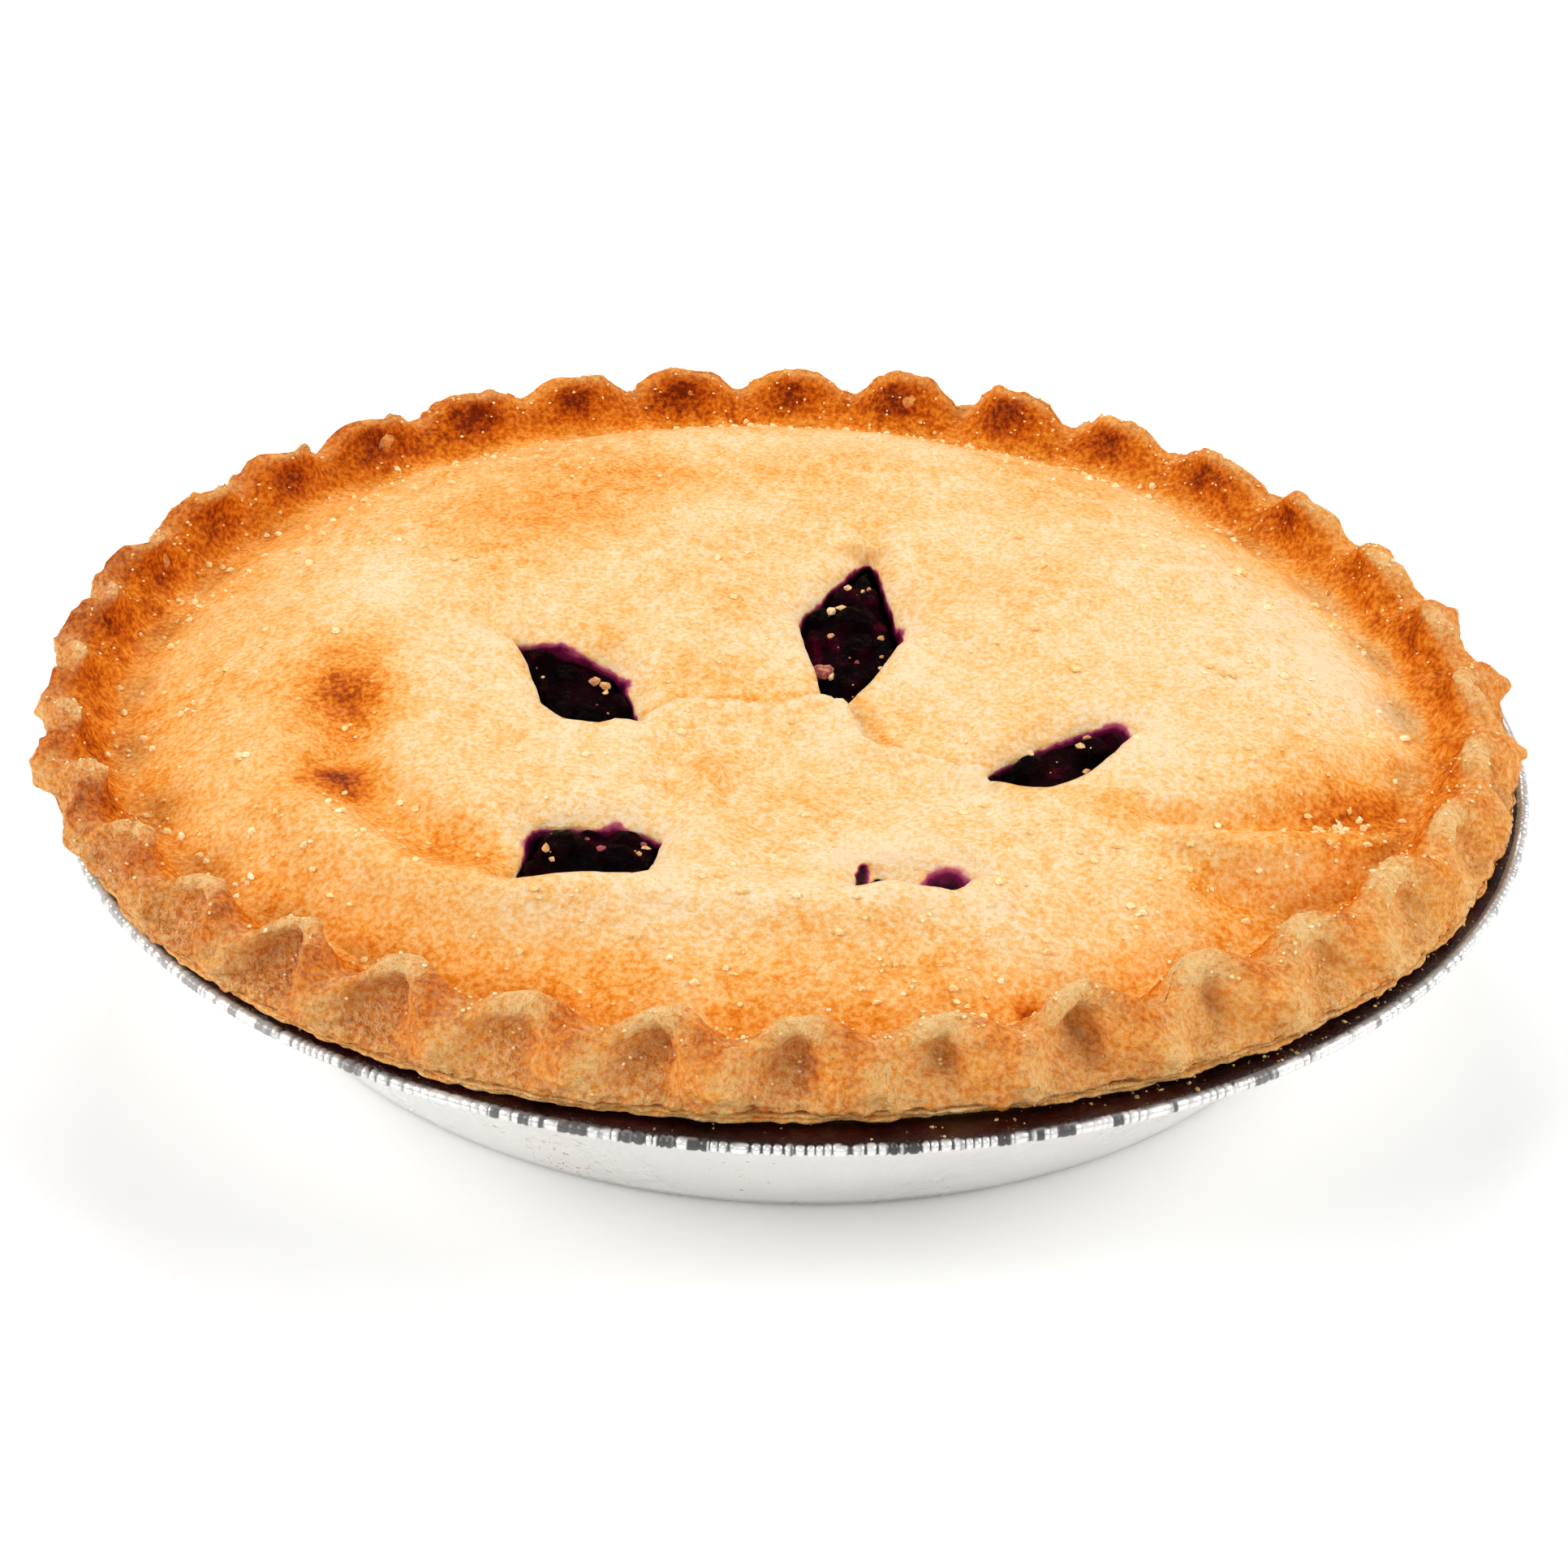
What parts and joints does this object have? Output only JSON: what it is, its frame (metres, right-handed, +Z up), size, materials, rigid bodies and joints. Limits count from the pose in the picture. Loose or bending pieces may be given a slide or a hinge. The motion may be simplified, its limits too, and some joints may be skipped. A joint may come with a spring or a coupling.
{
  "type": "blueberry pie",
  "caption": "Whole double-crust blueberry pie with a fluted rim and kite-shaped vents in the lid, baked in a round slant-walled foil tin.",
  "frame": {"origin": "on the tin's axis, at the underside of its flat base", "axes": "+Z up along the tin's axis; -Y towards the viewer of the picture; +X to the viewer's right"},
  "size_m": [0.2322, 0.2326, 0.0453],
  "materials": {
    "tin_foil": "bright smooth foil, finely creased at the bead",
    "bottom_pastry": "baked pastry, flaky at the edge",
    "berry_filling": "wet dark purple cooked berries",
    "top_pastry": "dry baked pastry, pale on the plateau and browned at the rim"
  },
  "bodies": {
    "root": {"foil_tin": "tin_foil", "bottom_crust": "bottom_pastry", "filling": "berry_filling", "top_crust": "top_pastry"}
  },
  "joints": []
}
